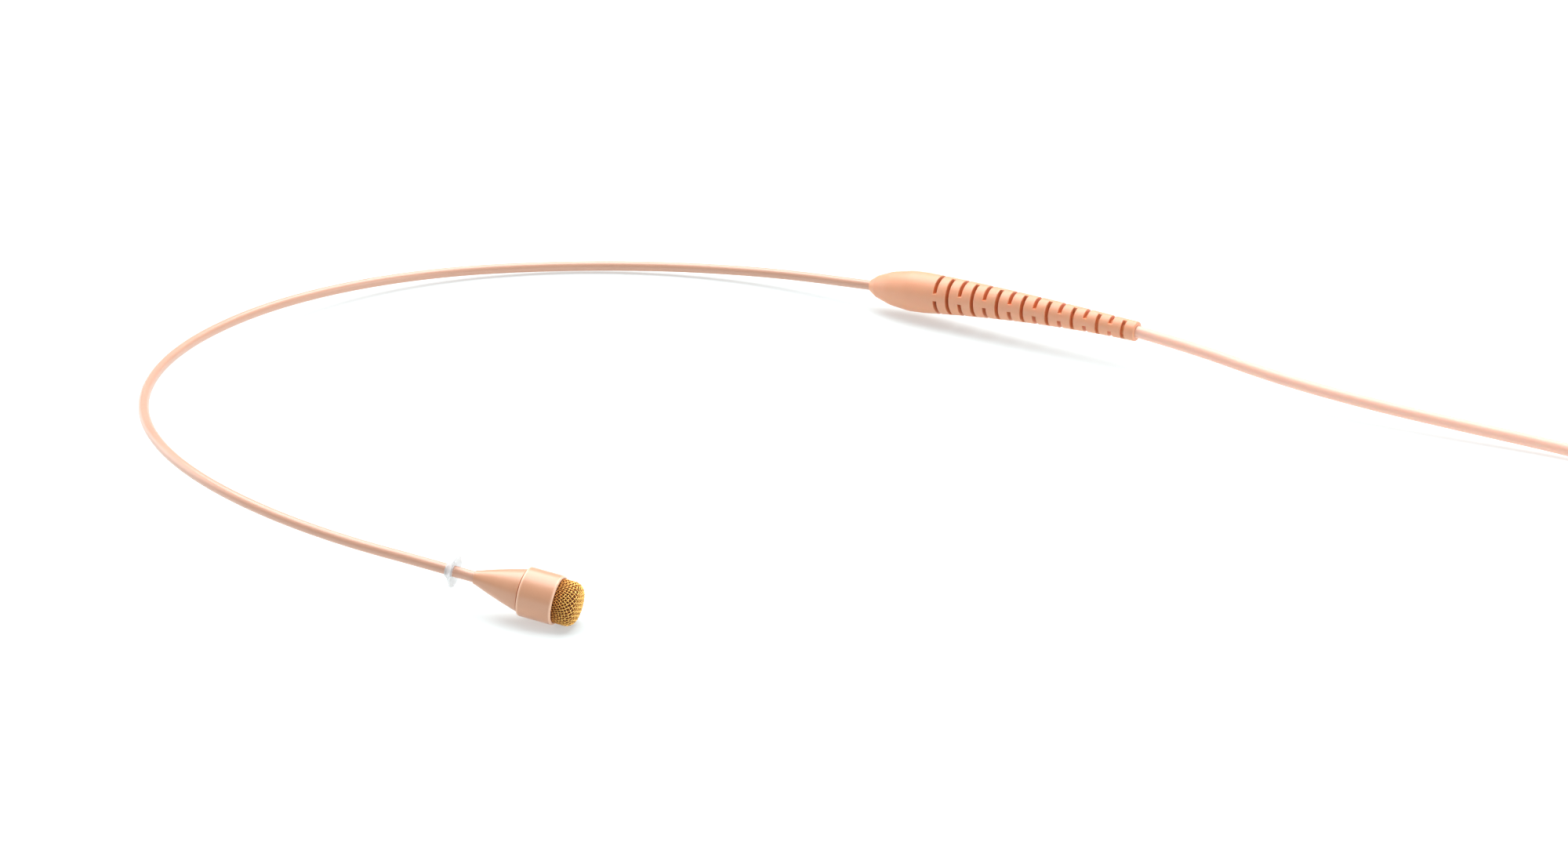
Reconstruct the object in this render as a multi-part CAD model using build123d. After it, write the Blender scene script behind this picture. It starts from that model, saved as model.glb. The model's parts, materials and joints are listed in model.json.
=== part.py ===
from build123d import *
import math
import os

# Headset microphone: a formable boom between a slotted strain relief and a tiny capsule.
#
# The microphone lies on a table as it would when it is put down: the boom is a
# loop, the relief is at its back right end and the capsule at its front.
# Millimetres, +Z up, +X along the cable, origin on the table in the middle of
# the microphone without its cable.

# ---------------------------------------------------------------- driving sizes

# Boom: a straight root, arcs that follow each other round the head, a straight tip.
BOOM_RADIUS = 0.65
BOOM_BORE = 0.35
BOOM_NOSE = Vector(28.63, 41.71, 3.02)   # where the boom enters the relief's nose
BOOM_YAW = 149.2                        # heading of the boom out of the nose, degrees
BOOM_CLIMB = -4.9
BOOM_ROOT = 6.3                         # straight length outside the nose
ARC_LENGTH = 44.7
ARCS = [                                # bend radius and tilt of the bend, degrees
    (61.0, 7.5),
    (50.0, 4.5),
    (52.5, 2.0),
    (47.0, -13.0),
]
SOCKET_LENGTH = 0.8                     # straight start of each stretch, hollowed for a ball
BOOM_TIP = 9.3                          # straight length up to the capsule
BOOM_TIP_TURN = -2.2                    # heading of that length from the last arc's end, degrees
BALL_CLEARANCE = 0.10                   # round each bend point of the boom
LEAD_RADIUS = 0.28

# Relief: one moulding with a barrel, a long taper and slots that let it flex.
RELIEF_LENGTH = 39.5
RELIEF_BARREL = 9.0                     # straight part, measured from the nose
RELIEF_BEND = 300.0                     # radius of its droop past the barrel
NOSE_RADIUS = 0.95
LAND_RADIUS = 2.7
LAND_START = 6.2
LAND_END = 8.4
TAIL_RADIUS = 1.3
TAPER_POWER = 1.35
SLOTS = 16
SLOT_PITCH = 1.795
SLOT_WIDTH = 0.52
FIRST_SLOT = 10.94
BRIDGE_WIDTH = 1.0
BRIDGE_TURN = 79.0                      # first pair of bridges, degrees from up

# Capsule, measured along its axis from the tip of its cone.
CONE_LENGTH = 6.0
CONE_TIP_RADIUS = 0.92
CONE_RADIUS = 2.55
SLEEVE_RADIUS = 2.25
SLEEVE_BORE = 2.0
SLEEVE_END = 9.4
COLLAR_RADIUS = 2.9
COLLAR_END = 10.35
CAP_CLEARANCE = 0.03
MESH_RADIUS = 2.62
MESH_SEAT = 9.6
MESH_WALL = 0.15
MESH_CORNER = 0.85
MESH_END = 12.7
MESH_CROWN = 0.1

# Sweat guard, a soft disc on the boom behind the capsule.
GUARD_FROM_TIP = 3.0
GUARD_RIM_RADIUS = 1.95
GUARD_CLEARANCE = 0.03

# Cable, coil and plug.
CABLE_RADIUS = 0.8
COIL_CENTRE = (136.5, -9.6)
COIL_MEAN_RADIUS = 9.0
COIL_WIDTH = 10.2
COIL_HEIGHT = 6.3
PLUG_RADIUS = 2.9

# ---------------------------------------------------------------- frames

UP = Vector(0, 0, 1)


def direction(yaw, climb):
    """Unit vector from a heading and a climb, in degrees."""
    yaw = math.radians(yaw)
    climb = math.radians(climb)
    return Vector(
        math.cos(climb) * math.cos(yaw),
        math.cos(climb) * math.sin(yaw),
        math.sin(climb),
    )


def station(point, travel):
    """Plane across a run: z along travel, x as near to up as it can be."""
    upward = (UP - travel * travel.Z).normalized()
    return Plane(origin=point, x_dir=upward, z_dir=travel)


def straight_on(start, length):
    """Station a straight length further on."""
    return station(start.origin + start.z_dir * length, start.z_dir)


def bend_side(start, tilt):
    """Unit vector towards the inside of a bend: left of travel, tilted up."""
    left = start.x_dir.cross(start.z_dir)
    tilt = math.radians(tilt)
    return left * math.cos(tilt) + start.x_dir * math.sin(tilt)


def bend_axis(start, radius, tilt):
    """Axis that an arc turns about."""
    inside = bend_side(start, tilt)
    return Axis(start.origin + inside * radius, start.z_dir.cross(inside))


def arc_on(start, length, radius, tilt):
    """Station an arc's length further on."""
    inside = bend_side(start, tilt)
    angle = length / radius
    centre = start.origin + inside * radius
    point = centre + start.z_dir * (radius * math.sin(angle)) - inside * (radius * math.cos(angle))
    travel = start.z_dir * math.cos(angle) + inside * math.sin(angle)
    return station(point, travel)


# ---------------------------------------------------------------- shapes

nodes = {}


def straight_tube(start, length, radius, bore=0.0):
    """Straight tube or rod from a station."""
    body = start * Cylinder(radius, length, align=(Align.CENTER, Align.CENTER, Align.MIN))
    if bore:
        body -= start * Cylinder(bore, length, align=(Align.CENTER, Align.CENTER, Align.MIN))
    return body


def arc_tube(start, length, radius, tilt, tube_radius, bore=0.0):
    """Tube or rod bent along one arc."""
    section = start * Circle(tube_radius)
    if bore:
        section = start * (Circle(tube_radius) - Circle(bore))
    return revolve(section, bend_axis(start, radius, tilt), revolution_arc=math.degrees(length / radius))


def turned(points):
    """Solid of revolution about Z from its (radius, height) outline."""
    outline = make_face(Polyline(*points, close=True))
    return revolve(Plane.XZ * outline, Axis.Z)


def ring(outer, inner, low, high):
    """Plain ring, or a disc where inner is 0."""
    return turned([(inner, low), (outer, low), (outer, high), (inner, high)])


# ---------------------------------------------------------------- boom

def boom_stations():
    """Stations at the nose, at every bend point, and at the capsule's tip."""
    nose = station(BOOM_NOSE, direction(BOOM_YAW, BOOM_CLIMB))
    bends = [straight_on(nose, BOOM_ROOT)]
    for radius, tilt in ARCS:
        socket_end = straight_on(bends[-1], SOCKET_LENGTH)
        bends.append(arc_on(socket_end, ARC_LENGTH, radius, tilt))
    tip_start = station(bends[-1].origin, bends[-1].z_dir.rotate(Axis.Z, BOOM_TIP_TURN))
    return nose, bends, tip_start, straight_on(tip_start, BOOM_TIP)


NOSE, BENDS, TIP_START, TIP = boom_stations()


def ball(end):
    """Round end of a tube, centred on the bend point that it stops at."""
    face = math.sqrt(BOOM_RADIUS ** 2 - BOOM_BORE ** 2)
    shoulder = math.sqrt(0.5) * BOOM_RADIUS
    outline = make_face(
        Polyline((BOOM_BORE, face), (BOOM_BORE, 0), (BOOM_RADIUS, 0))
        + ThreePointArc((BOOM_RADIUS, 0), (shoulder, shoulder), (BOOM_BORE, face))
    )
    return end * revolve(Plane.XZ * outline, Axis.Z)


def socket(start, length):
    """Straight tube hollowed at its near end round the bend point that it starts at."""
    hollow = BOOM_RADIUS + BALL_CLEARANCE
    rim = math.sqrt(hollow ** 2 - BOOM_RADIUS ** 2)
    throat = math.sqrt(hollow ** 2 - BOOM_BORE ** 2)
    middle = (BOOM_RADIUS + BOOM_BORE) / 2
    outline = make_face(
        ThreePointArc((BOOM_RADIUS, rim), (middle, math.sqrt(hollow ** 2 - middle ** 2)), (BOOM_BORE, throat))
        + Polyline((BOOM_BORE, throat), (BOOM_BORE, length), (BOOM_RADIUS, length), (BOOM_RADIUS, rim))
    )
    return start * revolve(Plane.XZ * outline, Axis.Z)


def make_boom():
    """Boom tubes, one for each stretch between bend points, and the lead inside each."""
    inside = 4.6
    gap = BOOM_RADIUS + BALL_CLEARANCE
    start = straight_on(NOSE, -inside)
    length = inside + BOOM_ROOT
    nodes["boom_root_tube"] = straight_tube(start, length, BOOM_RADIUS, BOOM_BORE) + ball(BENDS[0])
    nodes["boom_root_lead"] = straight_tube(start, length - gap, LEAD_RADIUS)

    for number, (radius, tilt) in enumerate(ARCS, start=1):
        start = BENDS[number - 1]
        arc_start = straight_on(start, SOCKET_LENGTH)
        tube = arc_tube(arc_start, ARC_LENGTH, radius, tilt, BOOM_RADIUS, BOOM_BORE)
        nodes[f"boom_tube_{number}"] = socket(start, SOCKET_LENGTH) + tube + ball(BENDS[number])
        nodes[f"boom_lead_{number}"] = arc_tube(arc_start, ARC_LENGTH - gap, radius, tilt, LEAD_RADIUS)

    into_capsule = 2.8
    nodes["boom_tip_tube"] = socket(TIP_START, BOOM_TIP + into_capsule)
    lead_start = straight_on(TIP_START, SOCKET_LENGTH)
    nodes["boom_tip_lead"] = straight_tube(lead_start, BOOM_TIP + into_capsule - SOCKET_LENGTH, LEAD_RADIUS)


# ---------------------------------------------------------------- relief

RELIEF_START = station(BOOM_NOSE, direction(BOOM_YAW + 180, -BOOM_CLIMB))


def relief_station(distance):
    """Station on the relief's axis, measured from its nose."""
    if distance <= RELIEF_BARREL:
        return straight_on(RELIEF_START, distance)
    barrel_end = straight_on(RELIEF_START, RELIEF_BARREL)
    return arc_on(barrel_end, distance - RELIEF_BARREL, RELIEF_BEND, -90)


def relief_radius(distance):
    """Outer radius of the slotted taper."""
    left = (RELIEF_LENGTH - distance) / (RELIEF_LENGTH - LAND_END)
    return TAIL_RADIUS + (LAND_RADIUS - TAIL_RADIUS) * left ** TAPER_POWER


def relief_piece(start, end):
    """Solid stretch of the taper between two distances."""
    first = relief_station(start) * Circle(relief_radius(start))
    last = relief_station(end) * Circle(relief_radius(end))
    return loft([first, last], ruled=True)


def relief_nose():
    """Rounded nose and the plain land behind it."""
    outline = make_face(
        Polyline((0, LAND_END), (0, 0), (NOSE_RADIUS, 0), (NOSE_RADIUS + 0.35, 0.4))
        + Spline(
            (NOSE_RADIUS + 0.35, 0.4),
            (2.25, 3.3),
            (LAND_RADIUS, LAND_START),
            tangents=[(1.0, 1.9), (0, 1)],
        )
        + Polyline((LAND_RADIUS, LAND_START), (LAND_RADIUS, LAND_END), (0, LAND_END))
    )
    return RELIEF_START * revolve(Plane.XZ * outline, Axis.Z)


def make_relief():
    """Strain relief with two bridges across each slot, a quarter turn on from the last."""
    body = relief_nose()
    edge = LAND_END
    for number in range(SLOTS):
        middle = FIRST_SLOT + number * SLOT_PITCH
        slot_start = middle - SLOT_WIDTH / 2
        slot_end = middle + SLOT_WIDTH / 2
        body += relief_piece(edge, slot_start)
        turn = BRIDGE_TURN + 90 * (number % 2)
        slab = relief_station(middle) * Rot(Z=turn) * Box(4 * LAND_RADIUS, BRIDGE_WIDTH, 2 * SLOT_WIDTH)
        body += relief_piece(slot_start, slot_end) & slab
        edge = slot_end
    body += relief_piece(edge, RELIEF_LENGTH)

    barrel_end = relief_station(RELIEF_BARREL)
    flex = RELIEF_LENGTH - RELIEF_BARREL
    cable_space = arc_tube(barrel_end, flex, RELIEF_BEND, -90, CABLE_RADIUS)
    body -= cable_space
    body -= straight_tube(relief_station(0), RELIEF_BARREL, BOOM_RADIUS)
    body -= straight_tube(relief_station(2.2), RELIEF_BARREL - 2.2, ANCHOR_RADIUS)
    nodes["relief_body"] = body

    lead_in = straight_tube(relief_station(7.0), RELIEF_BARREL - 7.0, CABLE_RADIUS)
    nodes["cable_in_relief"] = lead_in + cable_space


ANCHOR_RADIUS = 1.5


def make_anchor():
    """What the relief is moulded round: boom socket, splice and cable crimp."""
    local = {
        "boom_socket": ring(ANCHOR_RADIUS, BOOM_RADIUS, 2.2, 4.4),
        "splice_sleeve": ring(ANCHOR_RADIUS, ANCHOR_RADIUS - 0.2, 4.4, 7.1),
        "cable_crimp": ring(ANCHOR_RADIUS, CABLE_RADIUS, 7.1, 9.0),
    }
    wires = []
    for turn in (0, 120, 240):
        place = Rot(Z=turn) * Pos(0.4, 0, 4.7)
        wires.append(place * Cylinder(0.11, 2.2, align=(Align.CENTER, Align.CENTER, Align.MIN)))
        wires[-1] += place * Pos(0, 0, 1.1) * Sphere(0.24)
    local["splice_joints"] = Compound(wires)
    for name, shape in local.items():
        nodes[name] = RELIEF_START * shape


# ---------------------------------------------------------------- capsule

def make_housing():
    """Cone and the sleeve that the cap slides on."""
    tip_rounding = 0.25
    groove = (7.4, 7.8, SLEEVE_RADIUS - 0.15)
    outline = make_face(
        Polyline((0, 0), (CONE_TIP_RADIUS - tip_rounding, 0))
        + ThreePointArc(
            (CONE_TIP_RADIUS - tip_rounding, 0),
            (CONE_TIP_RADIUS - 0.05, 0.09),
            (CONE_TIP_RADIUS + 0.03, 0.3),
        )
        + ThreePointArc((CONE_TIP_RADIUS + 0.03, 0.3), (1.83, 3.1), (CONE_RADIUS, CONE_LENGTH - 0.05))
        + Polyline(
            (CONE_RADIUS, CONE_LENGTH - 0.05),
            (CONE_RADIUS - 0.05, CONE_LENGTH),
            (SLEEVE_RADIUS, CONE_LENGTH),
            (SLEEVE_RADIUS, groove[0]),
            (groove[2], groove[0]),
            (groove[2], groove[1]),
            (SLEEVE_RADIUS, groove[1]),
            (SLEEVE_RADIUS, SLEEVE_END),
            (0, SLEEVE_END),
            (0, 0),
        )
    )
    shell = revolve(Plane.XZ * outline, Axis.Z)
    shell -= ring(BOOM_RADIUS, 0, 0, 1.0)
    shell -= turned([(0, 1.0), (0.95, 1.0), (0.95, 3.0), (1.75, 6.4), (SLEEVE_BORE, 6.4),
                     (SLEEVE_BORE, SLEEVE_END), (0, SLEEVE_END)])
    seal = ring(SLEEVE_RADIUS + 0.01, groove[2], *groove[:2])
    return shell, seal


def make_cartridge():
    """Electret cartridge, front to back, in its can."""
    can_radius = SLEEVE_BORE - 0.02
    bore = can_radius - 0.18
    can = turned([(0.5, 9.1), (bore, 9.1), (bore, 6.5), (can_radius, 6.5), (can_radius, 9.3), (0.5, 9.3)])
    backplate = ring(1.6, 0, 8.35, 8.8)
    for turn in range(0, 360, 90):
        backplate -= Rot(Z=turn) * Pos(0.9, 0, 8.5) * Cylinder(0.15, 1.0)
    parts = [Pos(0, 0, 7.4) * Box(0.9, 0.6, 0.4)]
    for turn in (90, 270):
        parts.append(Rot(Z=turn) * Pos(0.7, 0, 7.3) * Box(0.25, 0.5, 0.2))
    wires = [Pos(offset, 0, 2.8) * Cylinder(0.1, 4.0, align=(Align.CENTER, Align.CENTER, Align.MIN))
             for offset in (-0.2, 0.2)]
    return {
        "cartridge_can": can,
        "acoustic_screen": ring(can_radius, 0, 9.3, 9.38),
        "diaphragm_ring": ring(bore, 1.45, 8.9, 9.1),
        "diaphragm": ring(bore, 0, 8.87, 8.9),
        "spacer_ring": ring(bore, 1.5, 8.8, 8.87),
        "backplate": backplate,
        "backplate_insulator": ring(bore, 1.6, 7.2, 8.8),
        "gate_ring": ring(1.25, 1.1, 7.2, 8.35),
        "preamp_board": ring(bore, 0, 6.8, 7.2),
        "board_components": Compound(parts),
        "signal_wires": Compound(wires),
    }


def make_mesh():
    """Woven grid as a plain shell: a skirt, a round corner and a slightly crowned end."""
    flat = MESH_RADIUS - MESH_CORNER
    shoulder = MESH_END - MESH_CORNER - MESH_CROWN
    lean = MESH_CORNER * (1 - math.sqrt(0.5))
    inner_radius = MESH_RADIUS - MESH_WALL
    outline = make_face(
        Polyline((0, MESH_END - MESH_WALL), (0, MESH_END))
        + Line((0, MESH_END), (flat, MESH_END - MESH_CROWN))
        + ThreePointArc(
            (flat, MESH_END - MESH_CROWN),
            (MESH_RADIUS - lean, MESH_END - MESH_CROWN - lean),
            (MESH_RADIUS, shoulder),
        )
        + Polyline((MESH_RADIUS, shoulder), (MESH_RADIUS, MESH_SEAT), (inner_radius, MESH_SEAT),
                   (inner_radius, shoulder))
        + ThreePointArc(
            (inner_radius, shoulder),
            (inner_radius - lean, MESH_END - MESH_CROWN - MESH_WALL - lean),
            (flat, MESH_END - MESH_CROWN - MESH_WALL),
        )
        + Line((flat, MESH_END - MESH_CROWN - MESH_WALL), (0, MESH_END - MESH_WALL))
    )
    return revolve(Plane.XZ * outline, Axis.Z)


def make_capsule():
    """Everything forward of the boom, and the guard on the boom behind it."""
    local = make_cartridge()
    local["capsule_housing"], local["cap_seal_ring"] = make_housing()
    local["boom_ferrule"] = ring(0.95, BOOM_RADIUS, 1.0, 3.0)
    edge = 0.08
    bore = SLEEVE_RADIUS + CAP_CLEARANCE
    local["grid_cap_collar"] = turned([
        (bore, CONE_LENGTH + 0.02),
        (COLLAR_RADIUS - edge, CONE_LENGTH + 0.02),
        (COLLAR_RADIUS, CONE_LENGTH + 0.02 + edge),
        (COLLAR_RADIUS, COLLAR_END - edge),
        (COLLAR_RADIUS - edge, COLLAR_END),
        (MESH_RADIUS, COLLAR_END),
        (MESH_RADIUS, MESH_SEAT),
        (bore, MESH_SEAT),
    ])
    local["grid_mesh"] = make_mesh()
    hub = 1.0
    back = -GUARD_FROM_TIP - 0.45
    bore = BOOM_RADIUS + GUARD_CLEARANCE
    local["sweat_guard"] = turned([
        (bore, back),
        (hub - 0.1, back),
        (hub, back + 0.3),
        (GUARD_RIM_RADIUS, back + 0.98),
        (GUARD_RIM_RADIUS, back + 1.1),
        (hub, back + 0.55),
        (hub - 0.1, back + 0.9),
        (bore, back + 0.9),
    ])
    for name, shape in local.items():
        nodes[name] = TIP * shape


# ---------------------------------------------------------------- cable and plug

RELIEF_END = relief_station(RELIEF_LENGTH)
RUN_POINTS = [
    (69.37, 17.42, 4.35),
    (79.1, 10.15, 3.37),
    (90.2, 3.8, 2.55),
    (101.6, -1.45, 1.8),
    (113.1, -6.7, 1.15),
    (122.0, -12.2, 0.82),
    (126.8, -18.4, 0.82),
]
TAIL_POINTS = [
    (134.8, -21.7, 4.9),
    (141.2, -22.6, 4.0),
    (149.2, -22.9, 2.92),
    (155.9, -21.6, 2.92),
]


def route_tube(points):
    """Tube along straight runs joined by arcs as large as the runs allow."""
    points = [Vector(*point) for point in points]
    radii = []
    for before, corner, after in zip(points, points[1:], points[2:]):
        turn = math.radians((corner - before).get_angle(after - corner))
        shorter = min((corner - before).length, (after - corner).length)
        radii.append(0.45 * shorter / math.tan(turn / 2))
    print("bend radii", [round(radius, 1) for radius in radii])
    path = FilletPolyline(*points, radius=radii)
    start = station(points[0], (points[1] - points[0]).normalized())
    tube = sweep(start * Circle(CABLE_RADIUS), path=path)
    print("length", round(path.length, 1), "volume ratio",
          round(tube.volume / (math.pi * CABLE_RADIUS ** 2 * path.length), 4))
    return tube


def make_cable():
    """Cable along the table, its put-away coil, and the tail that goes on to the plug."""
    start = RELIEF_END.origin
    nodes["cable_run"] = route_tube([tuple(start)] + RUN_POINTS)
    nodes["cable_tail"] = route_tube(TAIL_POINTS)
    profile = Pos(COIL_MEAN_RADIUS, COIL_HEIGHT / 2) * RectangleRounded(COIL_WIDTH, COIL_HEIGHT, 1.6)
    nodes["cable_coil"] = Pos(*COIL_CENTRE, 0) * revolve(Plane.XZ * profile, Axis.Z)


def make_plug():
    """Small screw-on coaxial plug, measured along its axis from the back of its boot."""
    nut_back = 13.0
    nut_end = 19.0
    thread = 2.15
    undercut = 2.5
    knurl_depth = 0.12
    end = Vector(*TAIL_POINTS[-1])
    local = {
        "plug_boot": turned([(CABLE_RADIUS, 0), (1.15, 0), (1.35, 0.5), (2.0, 8.0), (2.0, 8.6), (CABLE_RADIUS, 8.6)]),
        "plug_crimp_ferrule": ring(2.0, CABLE_RADIUS, 8.6, 11.4),
        "plug_body": turned([
            (CABLE_RADIUS, 11.4), (2.35, 11.4), (2.35, nut_back - 0.15), (1.7, nut_back - 0.15),
            (1.7, 14.1), (2.3, 14.1), (2.3, 14.9), (1.6, 14.9), (1.6, 15.9), (1.3, 15.9),
            (1.3, 12.6), (CABLE_RADIUS, 12.6),
        ]),
        "plug_insulator": ring(1.3, 0.3, 12.6, 15.7),
        "plug_contact": ring(0.3, 0, 10.6, 15.9),
    }
    nut = turned([
        (1.77, nut_back), (PLUG_RADIUS - 0.25, nut_back), (PLUG_RADIUS, nut_back + 0.25),
        (PLUG_RADIUS, nut_end - 0.25), (PLUG_RADIUS - 0.25, nut_end), (thread, nut_end),
        (thread, 16.1), (undercut, 16.1), (undercut, 14.0), (1.77, 14.0),
    ])
    for turn in range(0, 360, 15):
        nut -= Rot(Z=turn) * Pos(PLUG_RADIUS, 0, (nut_back + nut_end) / 2) * Box(2 * knurl_depth, 0.3, 4.4)
    local["coupling_nut"] = nut
    axis = station(end, (end - Vector(*TAIL_POINTS[-2])).normalized())
    local["cable_in_plug"] = ring(CABLE_RADIUS, 0, 0, 10.6)
    for name, shape in local.items():
        nodes[name] = axis * shape
    return axis


# ---------------------------------------------------------------- model

make_boom()
make_relief()
make_anchor()
make_capsule()
make_cable()
PLUG = make_plug()

CORD = {"cable_run", "cable_coil", "cable_tail"} | {name for name in nodes if name.startswith("plug_")}
CORD |= {"coupling_nut", "cable_in_plug"}
boxes = [shape.bounding_box() for name, shape in nodes.items() if name not in CORD]
own = boxes[0]
for box in boxes[1:]:
    own = own.add(box)
print("own box", own.min, own.max, "centre", own.center())
print("boom nose", NOSE.origin, "relief end", RELIEF_END.origin, RELIEF_END.z_dir)
for number, bend in enumerate(BENDS):
    print("bend point", number, bend.origin, "travel", bend.z_dir, "across", bend.z_dir.cross(bend.x_dir))
for number, (radius, tilt) in enumerate(ARCS):
    print("bend axis", number, bend_axis(BENDS[number], radius, tilt).direction)
print("capsule tip", TIP.origin, "axis", TIP.z_dir)
print("plug", PLUG.origin, "axis", PLUG.z_dir)

os.makedirs("parts", exist_ok=True)
for name, shape in nodes.items():
    export_step(shape, f"parts/{name}.step")
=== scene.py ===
import json
import math

import bmesh
import bpy
import numpy as np
from mathutils import Matrix, Vector


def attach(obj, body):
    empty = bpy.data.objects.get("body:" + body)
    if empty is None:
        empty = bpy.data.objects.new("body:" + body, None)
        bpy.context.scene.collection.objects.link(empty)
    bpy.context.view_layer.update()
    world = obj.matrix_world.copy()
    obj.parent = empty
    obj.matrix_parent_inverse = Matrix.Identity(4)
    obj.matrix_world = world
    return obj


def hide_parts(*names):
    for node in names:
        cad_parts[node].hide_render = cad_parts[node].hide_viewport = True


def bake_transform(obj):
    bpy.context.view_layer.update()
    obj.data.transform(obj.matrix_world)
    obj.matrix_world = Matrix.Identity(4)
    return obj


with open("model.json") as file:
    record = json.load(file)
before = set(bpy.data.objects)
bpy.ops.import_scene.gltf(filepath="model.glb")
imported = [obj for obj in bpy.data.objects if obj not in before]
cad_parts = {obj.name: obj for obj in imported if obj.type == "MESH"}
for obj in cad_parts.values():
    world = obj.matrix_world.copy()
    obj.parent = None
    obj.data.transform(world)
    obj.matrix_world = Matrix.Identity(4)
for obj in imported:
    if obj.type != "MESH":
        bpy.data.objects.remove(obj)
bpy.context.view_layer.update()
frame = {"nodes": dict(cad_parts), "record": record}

# ---------------------------------------------------------------- sizes, in metres

# Boom, from the relief's nose: a straight root, four arcs, a straight tip.
BOOM_RADIUS = 0.65e-3
BOOM_NOSE = Vector((0.02863, 0.04171, 0.00302))
BOOM_YAW = 149.2
BOOM_CLIMB = -4.9
BOOM_ROOT = 6.3e-3
SOCKET_LENGTH = 0.8e-3
ARC_LENGTH = 44.7e-3
ARCS = [                                # bend radius and tilt of the bend in degrees
    (61.0e-3, 7.5),
    (50.0e-3, 4.5),
    (52.5e-3, 2.0),
    (47.0e-3, -13.0),
]
BOOM_TIP = 9.3e-3
BOOM_TIP_TURN = -2.2                    # heading from the last arc's end, in degrees

# Relief, from its nose.
RELIEF_LENGTH = 39.5e-3
RELIEF_BARREL = 9.0e-3
RELIEF_BEND = 300.0e-3
LAND_RADIUS = 2.7e-3
LAND_START = 6.2e-3
LAND_END = 8.4e-3
TAIL_RADIUS = 1.3e-3
TAPER_POWER = 1.35
SLOTS = 16
SLOT_PITCH = 1.795e-3
SLOT_WIDTH = 0.52e-3
FIRST_SLOT = 10.94e-3
BRIDGE_WIDTH = 1.0e-3
BRIDGE_TURN = math.radians(79.0)

# Cable.
CABLE_RADIUS = 0.8e-3
RUN_POINTS = [
    (0.06937, 0.01742, 0.00435),
    (0.0791, 0.01015, 0.00337),
    (0.0902, 0.0038, 0.00255),
    (0.1016, -0.00145, 0.0018),
    (0.1131, -0.0067, 0.00115),
    (0.1220, -0.0122, 0.00082),
]
TAIL_POINTS = [
    (0.1412, -0.0232, 0.0047),
    (0.1492, -0.0229, 0.00292),
    (0.1559, -0.0216, 0.00292),
]
COIL_CENTRE = Vector((0.1365, -0.0096, 0.0))
COIL_INNER = 4.75e-3                    # to the middle of the innermost turn
COIL_OUTER = 13.25e-3
COIL_TURNS = 5.28                       # in each layer
COIL_LAYERS = 4
COIL_STEP = 1.56e-3
COIL_START = math.radians(222.0)
POINTS_PER_TURN = 16

UP = Vector((0, 0, 1))

# ---------------------------------------------------------------- stations


def direction(yaw, climb):
    """Unit vector from a heading and a climb, in degrees."""
    yaw = math.radians(yaw)
    climb = math.radians(climb)
    return Vector((math.cos(climb) * math.cos(yaw), math.cos(climb) * math.sin(yaw), math.sin(climb)))


def station(point, travel):
    """Matrix across a run: z along travel, x as near to up as it can be."""
    travel = travel.normalized()
    upward = (UP - travel * travel.z).normalized()
    axes = Matrix((upward, travel.cross(upward), travel)).transposed()
    return Matrix.Translation(point) @ axes.to_4x4()


def travel_of(start):
    """Direction in which a run goes on from a station."""
    return start.col[2].to_3d()


def straight_on(start, length):
    """Station a straight length further on."""
    return station(start.translation + travel_of(start) * length, travel_of(start))


def arc_on(start, length, radius, tilt):
    """Station an arc's length further on. The bend goes left of travel, tilted up by tilt degrees."""
    tilt = math.radians(tilt)
    inside = -start.col[1].to_3d() * math.cos(tilt) + start.col[0].to_3d() * math.sin(tilt)
    angle = length / radius
    travel = travel_of(start)
    offset = travel * math.sin(angle) + inside * (1 - math.cos(angle))
    return station(start.translation + offset * radius, travel * math.cos(angle) + inside * math.sin(angle))


NOSE = station(BOOM_NOSE, direction(BOOM_YAW, BOOM_CLIMB))
BENDS = [straight_on(NOSE, BOOM_ROOT)]
for bend_radius, bend_tilt in ARCS:
    BENDS.append(arc_on(straight_on(BENDS[-1], SOCKET_LENGTH), ARC_LENGTH, bend_radius, bend_tilt))
TIP_TRAVEL = Matrix.Rotation(math.radians(BOOM_TIP_TURN), 3, "Z") @ travel_of(BENDS[-1])
TIP_START = station(BENDS[-1].translation, TIP_TRAVEL)
TIP = straight_on(TIP_START, BOOM_TIP)
RELIEF_START = station(BOOM_NOSE, direction(BOOM_YAW + 180, -BOOM_CLIMB))


def stretch_station(number, distance):
    """Station on the boom's stretch after bend point number."""
    if number == len(ARCS):
        return straight_on(TIP_START, distance)
    if distance <= SOCKET_LENGTH:
        return straight_on(BENDS[number], distance)
    start = straight_on(BENDS[number], SOCKET_LENGTH)
    return arc_on(start, distance - SOCKET_LENGTH, *ARCS[number])


def relief_station(distance):
    """Station on the relief's axis, which droops past the barrel."""
    if distance <= RELIEF_BARREL:
        return straight_on(RELIEF_START, distance)
    return arc_on(straight_on(RELIEF_START, RELIEF_BARREL), distance - RELIEF_BARREL, RELIEF_BEND, -90)


# ---------------------------------------------------------------- camera, floor and lights

LOOK_AT = Vector((0.01693, -0.00019, 0.0002))
CAMERA_DISTANCE = 0.544
CAMERA_ELEVATION = math.radians(24.2)


def make_camera():
    """Long lens in front of the object, a quarter of a right angle or so above the table."""
    data = bpy.data.cameras.new("camera")
    data.lens = 100
    data.sensor_width = 36
    data.clip_start = 0.01
    camera = bpy.data.objects.new("camera", data)
    back = Vector((0, -math.cos(CAMERA_ELEVATION), math.sin(CAMERA_ELEVATION)))
    camera.location = LOOK_AT + back * CAMERA_DISTANCE
    camera.rotation_euler = (math.pi / 2 - CAMERA_ELEVATION, 0, 0)
    bpy.context.scene.collection.objects.link(camera)
    bpy.context.scene.camera = camera


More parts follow.
